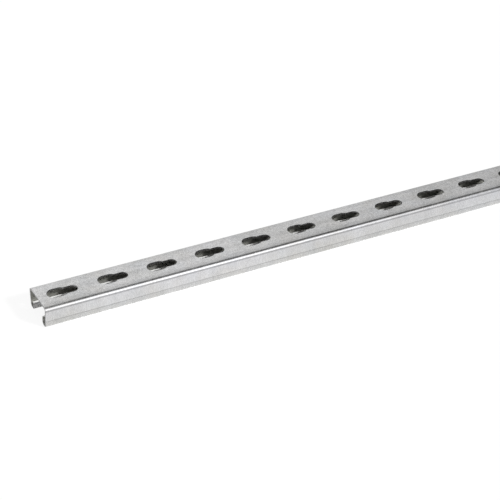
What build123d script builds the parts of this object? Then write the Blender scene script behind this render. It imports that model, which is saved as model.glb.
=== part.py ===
"""Slotted strut channel, 41 x 21 mm, one 2 m length.

One strip of 2 mm pre-galvanised steel, roll-formed into a C with its lips turned back up inside.
It lies web up and mouth down.  X runs along the length, Y across, Z up.
"""
import os

from build123d import *

# ---- the stock ----
LENGTH = 2000.0  # channel is sold in 2, 3 and 6 m lengths
WIDTH = 41.0  # outside to outside of the flanges
HEIGHT = 21.0  # from the lips' undersides to the top of the web
SHEET = 2.0  # strip thickness
WEB_BEND = 3.5  # outside radius of the two bends beside the web, so 1.5 mm inside
LIP_BEND = 2.5  # outside radius of the four tighter bends at the lips, so 0.5 mm inside
MOUTH = 24.0  # gap between the lips: 41 less an 8.5 mm lip on each side
RETURN_TOP = 8.0  # how high the returns' cut edges stand

# ---- the punched keyholes in the web ----
PITCH = 50.0  # hole to hole, with half a pitch of web left at each end
HOLE_COUNT = round(LENGTH / PITCH)
HOLE_LENGTH = 30.0  # end to end
BIG_WIDTH = 15.0  # the wide part, which lets a bolt head through
BIG_LENGTH = 20.0
SMALL_WIDTH = 11.0  # the narrow part, clearance for an M10 shank

# A keyhole is two obrounds in one punch: the wide one sits toward -X, the narrow one runs on to +X.
with BuildSketch() as keyhole:
    with Locations((-(HOLE_LENGTH - BIG_LENGTH) / 2, 0)):
        SlotOverall(BIG_LENGTH, BIG_WIDTH)
    with Locations((SMALL_WIDTH / 2, 0)):
        SlotOverall(HOLE_LENGTH - SMALL_WIDTH, SMALL_WIDTH)

with BuildPart() as strut_channel:
    with BuildSketch(Plane.YZ):
        with BuildLine():
            # The outer face of the strip, from one return's cut edge round to the other.
            # The six bends come in the same order as the line's corners.
            FilletPolyline(
                (-MOUTH / 2, RETURN_TOP),
                (-MOUTH / 2, 0),
                (-WIDTH / 2, 0),
                (-WIDTH / 2, HEIGHT),
                (WIDTH / 2, HEIGHT),
                (WIDTH / 2, 0),
                (MOUTH / 2, 0),
                (MOUTH / 2, RETURN_TOP),
                radius=(LIP_BEND, LIP_BEND, WEB_BEND, WEB_BEND, LIP_BEND, LIP_BEND),
            )
            # The inner face is the same line one strip thickness in; the cut edges close the outline.
            offset(amount=SHEET, side=Side.RIGHT)
        make_face()
    extrude(amount=LENGTH / 2, both=True)

    # The punch goes through the web only, in a row along the middle.
    with BuildSketch(Plane.XY.offset(HEIGHT)):
        with GridLocations(PITCH, 0, HOLE_COUNT, 1):
            add(keyhole)
    extrude(amount=-2 * SHEET, mode=Mode.SUBTRACT)

strut_channel.part.label = "strut_channel"

os.makedirs("parts", exist_ok=True)
export_step(strut_channel.part, "parts/strut_channel.step")
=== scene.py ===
import math

import bmesh
import bpy
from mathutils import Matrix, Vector


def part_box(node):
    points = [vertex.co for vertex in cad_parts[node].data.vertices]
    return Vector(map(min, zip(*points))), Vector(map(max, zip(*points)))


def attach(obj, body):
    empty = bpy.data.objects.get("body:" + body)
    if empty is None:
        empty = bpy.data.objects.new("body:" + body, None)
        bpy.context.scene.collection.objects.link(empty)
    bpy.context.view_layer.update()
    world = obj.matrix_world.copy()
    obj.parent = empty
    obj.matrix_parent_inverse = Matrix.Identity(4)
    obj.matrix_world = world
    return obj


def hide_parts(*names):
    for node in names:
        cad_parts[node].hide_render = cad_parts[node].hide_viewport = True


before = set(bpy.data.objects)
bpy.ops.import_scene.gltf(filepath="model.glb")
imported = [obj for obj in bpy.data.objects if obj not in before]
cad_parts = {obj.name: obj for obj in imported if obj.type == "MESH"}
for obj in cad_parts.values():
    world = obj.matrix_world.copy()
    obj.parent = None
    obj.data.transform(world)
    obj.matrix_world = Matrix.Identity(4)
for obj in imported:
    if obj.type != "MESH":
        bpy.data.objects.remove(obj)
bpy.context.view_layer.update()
low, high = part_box("strut_channel")

# ---- the channel: its mesh ----
# One strip of 2 mm galvanised steel, punched with keyholes along its middle and then roll-formed:
# the web, two flanges, and a lip on each that turns in and up again.  It is shaped here in the same
# order, as the outer face of one pitch, then repeated, given its thickness and its dulled cut edges.
NEAR = 0.00001  # two places closer than this are one place
SHEET = 0.002
WIDTH = high.y - low.y
HEIGHT = high.z - low.z
PITCH = 0.050
HOLE_COUNT = round((high.x - low.x) / PITCH)
WEB_BEND = 0.0035
LIP_BEND = 0.0025
MOUTH = 0.024
RETURN_TOP = 0.008
BIG_RADIUS = 0.0075
SMALL_RADIUS = 0.0055
HOLE_LENGTH = 0.030
BIG_LENGTH = 0.020

# The forming rolls leave a faint crease low on the flange, and the band below it a hair further in.
STEP = 0.00012
CREASE_TOP = 0.0068
CREASE_FOOT = 0.0062
LAND = 0.0005  # a short flat beside each bend, which keeps its shading off the wide flats

# They leave the web slightly crowned too: flat between the keyholes, then falling away to the bends.
CROWN_START = 0.011
CROWN_DEGREES = 5

# The -X end was cropped a little out of square, which took most off the web's front corner.
CROPPED = 0.0014
DULLED = 0.0001  # how far every cut edge is rounded over
END = 0.003  # a face whose middle is closer than this to an end belongs to that end

bpy.ops.object.select_all(action="DESELECT")


def pick(kind, test):
    """Selects only the open mesh's points, edges or faces whose middle passes the test."""
    bpy.ops.mesh.select_mode(type=kind)
    bpy.ops.mesh.select_all(action="DESELECT")
    mesh = bmesh.from_edit_mesh(bpy.context.object.data)
    for item in {"VERT": mesh.verts, "EDGE": mesh.edges, "FACE": mesh.faces}[kind]:
        corners = [item] if kind == "VERT" else item.verts
        if test(sum((v.co for v in corners), Vector()) / len(corners)):
            item.select_set(True)
    bmesh.update_edit_mesh(bpy.context.object.data)


def pull(x=0.0, y=0.0, z=0.0):
    """Extrudes the selected point into a line, or line into a flat, and selects the new end."""
    bpy.ops.mesh.extrude_region_move(TRANSFORM_OT_translate={"value": (x, y, z)})


def turn(degrees, steps, center, axis):
    """Spins what is selected clockwise, seen from the axis's tip, and selects the new end."""
    bpy.ops.mesh.spin(steps=steps, angle=math.radians(degrees), center=center, axis=axis)


# Half of one pitch of web lies on the +Y side of the middle line.  Its outline starts at the tip of
# the keyhole's wide end, follows the keyhole to the tip of its narrow end, and comes back round the strip.
middle = low.x + PITCH / 2
wide_tip = middle - HOLE_LENGTH / 2
big_end = wide_tip + BIG_LENGTH - BIG_RADIUS
small_end = middle + HOLE_LENGTH / 2 - SMALL_RADIUS
neck_angle = math.asin(SMALL_RADIUS / BIG_RADIUS)
neck = big_end + BIG_RADIUS * math.cos(neck_angle)
web_edge = CROWN_START - LAND

bpy.ops.mesh.primitive_circle_add(
    vertices=4, radius=BIG_RADIUS, location=(wide_tip + BIG_RADIUS, 0, high.z))
channel = bpy.context.object
channel.name = "rolled_channel"
bpy.ops.object.transform_apply(location=True, rotation=True, scale=True)
bpy.ops.object.mode_set(mode="EDIT")
pick("VERT", lambda p: p.x > wide_tip + NEAR)
bpy.ops.mesh.delete(type="VERT")
pick("VERT", lambda p: True)
turn(90, 16, (wide_tip + BIG_RADIUS, 0, high.z), (0, 0, 1))
pull(x=BIG_LENGTH - 2 * BIG_RADIUS)
turn(90 - math.degrees(neck_angle), 8, (big_end, 0, high.z), (0, 0, 1))
pull(x=small_end - neck)
turn(90, 14, (small_end, 0, high.z), (0, 0, 1))
pull(x=(PITCH - HOLE_LENGTH) / 2)
pull(y=web_edge)
pull(x=-PITCH)
pull(y=-web_edge)
pick("VERT", lambda p: p.y < NEAR and p.x < wide_tip + NEAR)
bpy.ops.mesh.edge_face_add()
bpy.ops.mesh.remove_doubles(threshold=NEAR)
pick("EDGE", lambda p: True)
bpy.ops.mesh.edge_face_add()

# The web's long edge is taken round the rolls: bend, flange, crease, lip bend, lip, bend and return.
side = WIDTH / 2
pick("EDGE", lambda p: p.y > web_edge - NEAR)
pull(y=LAND)
crown = math.radians(CROWN_DEGREES)
bend_start = side - WEB_BEND * (1 - math.sin(crown))
crown_radius = (bend_start - CROWN_START) / math.sin(crown)
turn(CROWN_DEGREES, 4, (0, CROWN_START, high.z - crown_radius), (1, 0, 0))
bend_top = high.z - crown_radius * (1 - math.cos(crown))
bend_height = bend_top - WEB_BEND * math.cos(crown)
turn(90 - CROWN_DEGREES, 14, (0, side - WEB_BEND, bend_height), (1, 0, 0))
pull(z=-LAND)
pull(z=CREASE_TOP - (bend_height - LAND))
pull(y=-STEP, z=CREASE_FOOT - CREASE_TOP)
pull(z=LIP_BEND + LAND - CREASE_FOOT)
pull(z=-LAND)
turn(90, 10, (0, side - STEP - LIP_BEND, LIP_BEND), (1, 0, 0))
pull(y=-LAND)
pull(y=MOUTH / 2 - side + STEP + 2 * LIP_BEND + 2 * LAND)
pull(y=-LAND)
turn(90, 10, (0, MOUTH / 2 + LIP_BEND, LIP_BEND), (1, 0, 0))
pull(z=LAND)
pull(z=RETURN_TOP - LIP_BEND - LAND)

# The -Y half is the same, turned over.
bpy.ops.mesh.select_all(action="SELECT")
bpy.ops.mesh.duplicate()
bpy.ops.transform.resize(value=(1, -1, 1), center_override=(0, 0, 0))
bpy.ops.mesh.select_all(action="SELECT")
bpy.ops.mesh.remove_doubles(threshold=NEAR)
bpy.ops.mesh.normals_make_consistent(inside=False)
bpy.ops.object.mode_set(mode="OBJECT")

bpy.ops.object.modifier_add(type="ARRAY")
row = channel.modifiers[-1]
row.use_relative_offset = False
row.use_constant_offset = True
row.constant_offset_displace = (PITCH, 0, 0)
row.count = HOLE_COUNT
row.use_merge_vertices = True
row.merge_threshold = NEAR
bpy.ops.object.modifier_apply(modifier=row.name)

# Cropping out of square: the cut passes through the web's back corner and the front flange's foot.
bpy.ops.object.mode_set(mode="EDIT")
bpy.ops.mesh.select_all(action="SELECT")
bpy.ops.mesh.bisect(
    plane_co=(low.x, side, high.z), plane_no=(1, CROPPED / WIDTH, -CROPPED / HEIGHT),
    clear_inner=True)
bpy.ops.object.mode_set(mode="OBJECT")

# The coil's outer skin, its duller inner skin, the sheared edges and the punched walls of the keyholes
# each have a finish of their own.
zinc = bpy.data.materials.new("galvanised_outside")
dull_shaded_zinc = bpy.data.materials.new("galvanised_inside")
sheared = bpy.data.materials.new("sheared_steel")
punched = bpy.data.materials.new("punched_steel")
slit = bpy.data.materials.new("slit_edge")
finishes = (zinc, dull_shaded_zinc, sheared, punched, slit)
for finish in finishes:
    finish.use_nodes = True
    channel.data.materials.append(finish)

bpy.ops.object.modifier_add(type="SOLIDIFY")
wall = channel.modifiers[-1]
wall.thickness = SHEET
wall.offset = -1
wall.use_even_offset = True
wall.use_quality_normals = True
wall.material_offset = finishes.index(dull_shaded_zinc)
wall.material_offset_rim = finishes.index(sheared)
bpy.ops.object.modifier_apply(modifier=wall.name)

bpy.ops.object.modifier_add(type="BEVEL")
dulled = channel.modifiers[-1]
dulled.width = DULLED
dulled.segments = 2
dulled.limit_method = "ANGLE"
dulled.angle_limit = math.radians(60)
dulled.use_clamp_overlap = False
bpy.ops.object.modifier_apply(modifier=dulled.name)
bpy.ops.object.mode_set(mode="EDIT")


def keyhole_wall(middle):
    """True for a face of a keyhole's wall, between the web's two skins and away from the ends."""
    deep = high.z - SHEET + NEAR < middle.z < high.z - NEAR
    return deep and abs(middle.y) < BIG_RADIUS and abs(middle.x) < high.x - END


def return_edge(middle):
    """True for a face of the slit edge along the top of a return, its rounding included."""
    top = RETURN_TOP - 1.2 * DULLED < middle.z < RETURN_TOP + NEAR
    return top and abs(middle.y) < MOUTH / 2 + SHEET and abs(middle.x) < high.x - END


pick("FACE", keyhole_wall)
channel.active_material_index = finishes.index(punched)
bpy.ops.object.material_slot_assign()
pick("FACE", return_edge)
channel.active_material_index = finishes.index(slit)
bpy.ops.object.material_slot_assign()
bpy.ops.object.mode_set(mode="OBJECT")
bpy.ops.object.shade_smooth_by_angle(angle=math.radians(15))

# ---- the channel: its finish ----
# Hot-dip zinc from the coil: pale grey, softly reflective, with a fine grit and a small spangle that
# the rolls have flattened and drawn out lengthwise, faint bars across where it was handled, dull
# rubbed patches, and stains that are a little warmer than the rest.


class Shade:
    """A socket of a node tree.  Arithmetic on it adds Math nodes, and node() adds any other node."""

    def __init__(self, tree, socket=None):
        self.tree = tree
        self.socket = socket

    def node(self, kind, settings=None, sockets=None, output=0):
        made = self.tree.nodes.new(kind)
        for name, value in (settings or {}).items():
            if name == "stops":
                while len(made.color_ramp.elements) < len(value):
                    made.color_ramp.elements.new(1.0)
                for element, (place, level) in zip(made.color_ramp.elements, value):
                    element.position = place
                    element.color = (level, level, level, 1.0)
            else:
                setattr(made, name, value)
        for name, value in (sockets or {}).items():
            if isinstance(value, Shade):
                self.tree.links.new(value.socket, made.inputs[name])
            else:
                made.inputs[name].default_value = value
        return Shade(self.tree, made.outputs[output]) if made.outputs else made

    def other(self, output):
        """Another output of the node that this socket belongs to."""
        return Shade(self.tree, self.socket.node.outputs[output])

    def math(self, operation, first, second=0.0):
        return self.node("ShaderNodeMath", {"operation": operation}, {0: first, 1: second})

    def __abs__(self):
        return self.math("ABSOLUTE", self)

    def __add__(self, other):
        return self.math("ADD", self, other)

    __radd__ = __add__

    def __sub__(self, other):
        return self.math("SUBTRACT", self, other)

    def __rsub__(self, other):
        return self.math("SUBTRACT", other, self)

    def __mul__(self, other):
        return self.math("MULTIPLY", self, other)

    __rmul__ = __mul__


def noise(start, place, scale, shares, detail=2.0):
    """A noise within 0.5 of zero, of so many patches a metre, or its own share of them on each axis."""
    mapped = start.node("ShaderNodeMapping", {}, {"Vector": place, "Scale": shares})
    return start.node("ShaderNodeTexNoise", {}, {"Vector": mapped, "Scale": scale, "Detail": detail}) - 0.5


shader = zinc.node_tree.nodes["Principled BSDF"]
start = Shade(zinc.node_tree)
place = start.node("ShaderNodeTexCoord", output=3)

spangle = start.node(
    "ShaderNodeTexVoronoi", {}, {"Vector": place, "Scale": 420.0, "Randomness": 1.0}, output=1)
spangle = start.node("ShaderNodeSeparateColor", {}, {"Color": spangle}) - 0.5
mottle = noise(start, place, 500.0, (0.6, 1.0, 1.0), 3.0)
drawn = noise(start, place, 900.0, (0.012, 1.0, 1.0), 2.0)
grit = noise(start, place, 1600.0, (1.0, 1.0, 1.0), 1.0)
bars = noise(start, place, 60.0, (1.0, 0.05, 0.05), 3.0)
ticks = noise(start, place, 1900.0, (1.0, 0.22, 0.22), 1.0)
patches = noise(start, place, 22.0, (1.0, 1.0, 1.0), 3.0)
stain = noise(start, place, 60.0, (1.0, 1.0, 1.0), 3.0)

# Lengthwise bands darken the tone.  From the middle line out: a greyed line along the middle, and
# painted shade in a band where the web runs into each bend.  From the floor up, all painted shade: a
# darker band below the crease, a dark line along it, and another at the foot of the web's bend.
BANDS_REACH = 0.020
MIDDLE_LINE_AND_SHADE_OUT = [
    (0.0, 0.91), (0.0022, 0.94), (0.0032, 1.0), (0.0115, 1.0), (0.0150, 0.91), (0.0175, 0.88),
    (0.0195, 1.0)]
PAINTED_SHADE_UP = [
    (0.0, 0.89), (0.0056, 0.88), (0.0064, 0.62), (0.0072, 1.0), (0.0162, 1.0), (0.0170, 0.62),
    (0.0178, 0.66), (0.0190, 1.0)]
split = start.node("ShaderNodeSeparateXYZ", {}, {"Vector": place})
out = abs(split.other(1))
up = split.other(2)
middle_line_and_shade = start.node(
    "ShaderNodeValToRGB", {"stops": [(reach / BANDS_REACH, level) for reach, level in MIDDLE_LINE_AND_SHADE_OUT]},
    {"Fac": out * (1.0 / BANDS_REACH)})
painted_shade_by_height = start.node(
    "ShaderNodeValToRGB", {"stops": [(reach / BANDS_REACH, level) for reach, level in PAINTED_SHADE_UP]},
    {"Fac": up * (1.0 / BANDS_REACH)})

# The grain is coarse and gritty on the web.  On the flanks it is finer, in short upright ticks, and
# the zinc there is a shade darker.  Inside the mouth, where it mirrors only shade, its tone is raised 40%:
# painted light.
flank = start.node("ShaderNodeMapRange", {}, {"Value": out, "From Min": 0.0190, "From Max": 0.0202})
turned_in = start.node("ShaderNodeMapRange", {}, {"Value": out, "From Min": 0.0165, "From Max": 0.0145})
down = start.node("ShaderNodeMapRange", {}, {"Value": up, "From Min": 0.0120, "From Max": 0.0090})
web_grain = spangle * 0.09 + mottle * 0.30 + grit * 0.88 + drawn * 0.12 + patches * 0.16
flank_grain = spangle * 0.02 + mottle * 0.05 + ticks * 0.30 + bars * 0.12
tone = 0.655 + web_grain * (1.0 - flank) + flank_grain * flank + bars * 0.10 + patches * 0.18
# The bands darken the tone as painted shade, and inside the mouth the tone is raised as painted light.
tone = tone * middle_line_and_shade * painted_shade_by_height * (1.0 - flank * 0.05) * (1.0 + turned_in * down * 0.40)

# The flank's blue cast grows with height, and the stains take some blue away and add a little red.
CAST_MIDDLE = 0.009
cast = 0.999 + patches * 0.05 + (up - CAST_MIDDLE) * 2.4 * flank
tint = start.node(
    "ShaderNodeCombineColor", {},
    {"Red": tone * (1.0 + stain * 0.05), "Green": tone * 0.998, "Blue": tone * (cast - stain * 0.07)})
zinc.node_tree.links.new(tint.socket, shader.inputs["Base Color"])

# The bend is drawn tight over the roll, so its corner is smoother and shinier than the flats.
corner_out = start.node("ShaderNodeMapRange", {}, {"Value": out, "From Min": 0.0165, "From Max": 0.0178})
corner_up = start.node("ShaderNodeMapRange", {}, {"Value": up, "From Min": 0.0155, "From Max": 0.0172})
corner = corner_out * corner_up
rough = 0.27 + mottle * 0.10 + patches * 0.10 + spangle * 0.06 - corner * 0.07
zinc.node_tree.links.new(rough.socket, shader.inputs["Roughness"])
shader.inputs["Metallic"].default_value = 0.97
relief = (mottle * 0.6 + spangle * 0.25) * (1.0 - corner * 0.7) + drawn * 0.5
bump = start.node("ShaderNodeBump", {}, {"Height": relief, "Strength": 0.12, "Distance": 0.0004})
zinc.node_tree.links.new(bump.socket, shader.inputs["Normal"])


def plain_finish(material, grain, tone, blue, rough, metallic):
    """One grain varies the tone and the roughness, each given as its middle and its swing."""
    start = Shade(material.node_tree)
    grain = noise(start, start.node("ShaderNodeTexCoord", output=3), *grain)
    level = tone[0] + grain * tone[1]
    tint = start.node("ShaderNodeCombineColor", {}, {"Red": level, "Green": level, "Blue": level * blue})
    dullness = rough[0] + grain * rough[1]
    shader = material.node_tree.nodes["Principled BSDF"]
    material.node_tree.links.new(tint.socket, shader.inputs["Base Color"])
    material.node_tree.links.new(dullness.socket, shader.inputs["Roughness"])
    shader.inputs["Metallic"].default_value = metallic


# The inside is the same zinc, duller and a little olive with oil.  Its tone, about half the outside's,
# is painted shade for the inside of the channel.
plain_finish(dull_shaded_zinc, (160.0, (0.5, 1.0, 1.0), 4.0), (0.34, 0.14), 0.92, (0.48, 0.2), 0.5)

# The sheared ends are bare steel, a fine grained break.
plain_finish(sheared, (1500.0, (1.0, 1.0, 0.15), 2.0), (0.30, 0.12), 1.0, (0.5, 0.2), 0.4)

# The strip's slit edges end up along the tops of the returns.  Their finish is rough and diffuse, and
# their near-white tone is painted light, so that they read bright where the lamp reaches them
# through the keyholes.
plain_finish(slit, (700.0, (0.3, 1.0, 1.0), 2.0), (0.92, 0.1), 0.98, (0.5, 0.0), 0.1)

# The keyholes' walls were burnished by the punch, so they mirror the dark inside.
plain_finish(punched, (1200.0, (1.0, 1.0, 0.1), 2.0), (0.45, 0.16), 1.0, (0.3, 0.2), 0.98)

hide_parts("strut_channel")
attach(channel, "root")

# ---- the floor ----
# A sheet of white paper, far wider than the channel is long, so that no edge of it shows.  Away from
# the channel it glows an even white, and only under and close beside it is it left to the shadow.
bpy.ops.object.select_all(action="DESELECT")
bpy.ops.mesh.primitive_plane_add(size=120, location=(0, 0, low.z))
floor = bpy.context.object
floor.name = "floor"
paper = bpy.data.materials.new("white_paper")
paper.use_nodes = True
shader = paper.node_tree.nodes["Principled BSDF"]
shader.inputs["Base Color"].default_value = (0.84, 0.84, 0.84, 1.0)
shader.inputs["Roughness"].default_value = 0.9
shader.inputs["Specular IOR Level"].default_value = 0.0
start = Shade(paper.node_tree)
seen = start.node("ShaderNodeLightPath")
reflected = seen.other("Is Glossy Ray")
place = start.node("ShaderNodeTexCoord", output=3)
split = start.node("ShaderNodeSeparateXYZ", {}, {"Vector": place})
beside = start.node(
    "ShaderNodeMapRange", {"interpolation_type": "SMOOTHSTEP"},
    {"Value": abs(split.other(1)), "From Min": 0.016, "From Max": 0.030})
beyond = start.node(
    "ShaderNodeMapRange", {"interpolation_type": "SMOOTHSTEP"},
    {"Value": abs(split), "From Min": high.x - 0.018, "From Max": high.x - 0.007})
share = beside.math("MAXIMUM", beside, beyond)

# The glow that the flange mirrors fades a little with the distance from the -X end.
faded = start.node(
    "ShaderNodeMapRange", {},
    {"Value": split, "From Min": low.x + 0.22, "From Max": low.x + 0.50, "To Min": 0.0, "To Max": 0.13})
glow = 1.0 - reflected * faded
white = start.node("ShaderNodeCombineColor", {}, {"Red": glow, "Green": glow, "Blue": glow})
lit = start.node("ShaderNodeEmission", {}, {"Color": white, "Strength": 1.0})
blend = start.node(
    "ShaderNodeMixShader", {},
    {"Fac": seen * share * 0.90 + reflected * beside * 0.80,
     1: Shade(paper.node_tree, shader.outputs[0]), 2: lit})
paper.node_tree.links.new(blend.socket, paper.node_tree.nodes["Material Output"].inputs["Surface"])
floor.data.materials.append(paper)

# ---- the light ----
# A tent of white cloth with its walls running along the channel: a broad soft box in front, a dark
# gap overhead, and a greyer wall behind.  The stops give the degrees from straight up, less than 0
# behind and more than 0 in front, and the brightness there.
TENT = [
    (-90, 0.90), (-47, 0.89), (-34, 0.47), (-24, 0.12), (12, 0.08), (24, 0.40), (38, 1.25), (52, 2.3),
    (86, 2.3), (92, 1.05)]
CLOTH = 0.95
BRIGHTEST = 3.0  # a colour of 1 in the world's nodes stands for this brightness
tent = bpy.data.worlds.new("light_tent")
bpy.context.scene.world = tent
tent.use_nodes = True
start = Shade(tent.node_tree)
direction = start.node("ShaderNodeTexCoord", output=0)
split = start.node("ShaderNodeSeparateXYZ", {}, {"Vector": direction})
angle = start.node("ShaderNodeMath", {"operation": "ARCTAN2"}, {0: 0.0 - split.other(1), 1: split.other(2)})
stops = [(degrees / 360 + 0.5, level / BRIGHTEST) for degrees, level in TENT]
walls = start.node("ShaderNodeValToRGB", {"stops": stops}, {"Fac": angle * (0.5 / math.pi) + 0.5})

# The walls begin and end to either side, with plain cloth past them.  They darken toward their ends,
# the soft box in front more than the rest.
aside = abs(split)
panels = [(0.17, 0.0), (0.23, 1.0), (0.62, 1.0), (0.78, 0.0)]
inside = start.node("ShaderNodeValToRGB", {"stops": panels}, {"Fac": aside})
ends = [(0.24, 1.0), (0.42, 0.90), (0.50, 0.73), (0.62, 0.55)]
fading = start.node("ShaderNodeValToRGB", {"stops": ends}, {"Fac": aside})
front = angle.math("GREATER_THAN", angle, 0.0)
dimming = start.node(
    "ShaderNodeMapRange", {"interpolation_type": "SMOOTHSTEP"},
    {"Value": aside, "From Min": 0.40, "From Max": 0.58, "To Min": 0.0, "To Max": 0.70})
walls = walls * fading * (1.0 - front * dimming)
cloth = (CLOTH / BRIGHTEST, CLOTH / BRIGHTEST, CLOTH / BRIGHTEST, 1.0)
around = start.node("ShaderNodeMix", {"data_type": "RGBA"}, {"Factor": inside, 6: cloth, 7: walls}, output=2)

# Seen directly the tent is plain white.
plain_white = (1.0 / BRIGHTEST, 1.0 / BRIGHTEST, 1.0 / BRIGHTEST, 1.0)
seen = start.node("ShaderNodeLightPath")
around = start.node(
    "ShaderNodeMix", {"data_type": "RGBA"}, {"Factor": seen, 6: around, 7: plain_white}, output=2)
background = tent.node_tree.nodes["Background"]
tent.node_tree.links.new(around.socket, background.inputs["Color"])
background.inputs["Strength"].default_value = BRIGHTEST

# One soft lamp from the front right reaches the inside through the keyholes.  It isn't mirrored.
bpy.ops.object.light_add(type="SUN", location=(0, 0, 1))
key = bpy.context.object
key.name = "key"
key.visible_glossy = False
key.data.energy = 4.4
key.data.angle = math.radians(8)
lamp_side = Vector((0.53, -0.66, 0.55))
key.rotation_euler = lamp_side.to_track_quat("Z", "Y").to_euler()

# ---- the camera ----
# A short telephoto from the front left, looking down on the cropped end.
TURN = math.radians(-26.19)
TILT = math.radians(32.80)
DISTANCE = 1.4206
aim = Vector((low.x + 0.2259, 0.01555, low.z - 0.00012))
back = Vector((math.sin(TURN) * math.cos(TILT), -math.cos(TURN) * math.cos(TILT), math.sin(TILT)))
bpy.ops.object.camera_add(location=aim + DISTANCE * back)
camera = bpy.context.object
camera.rotation_euler = back.to_track_quat("Z", "Y").to_euler()
camera.data.sensor_width = 36.0
camera.data.lens = 103.1
bpy.context.scene.camera = camera
bpy.context.scene.view_settings.view_transform = "Standard"
